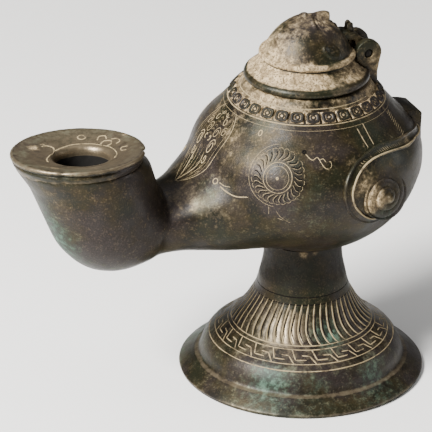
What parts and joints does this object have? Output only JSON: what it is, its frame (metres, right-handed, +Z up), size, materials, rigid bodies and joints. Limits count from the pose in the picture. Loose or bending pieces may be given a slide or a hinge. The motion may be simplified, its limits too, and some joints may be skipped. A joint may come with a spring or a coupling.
{
  "type": "oil lamp",
  "caption": "Hollow footed bronze oil lamp with a raised round nozzle, scroll bosses on its flanks, a trumpet foot and a hinged lid that carries a head looking up.",
  "frame": {"origin": "middle of the whole lamp's bounding box in plan, at the underside of the foot", "axes": "+Z up, nozzle towards -X, the stump of the lost handle towards +X, the hinge's axis along Y"},
  "size_m": [0.145, 0.0838, 0.1294],
  "materials": {
    "reservoir_bronze": "aged bronze, dark olive-brown patina with worn spots",
    "foot_bronze": "aged bronze, dark patina with green bloom",
    "lid_bronze": "aged bronze under a pale crust",
    "pin_bronze": "dark corroded bronze"
  },
  "bodies": {
    "lamp": {"body": "reservoir_bronze", "foot": "foot_bronze", "hinge_pin": "pin_bronze"},
    "lid": {"lid": "lid_bronze"}
  },
  "joints": [
    {"name": "lid_hinge", "type": "hinge", "parent": "lamp", "child": "lid", "pos_m": [0.05015, 0, 0.1145], "axis": [0, 1, 0], "range_deg": [0, 100]}
  ]
}
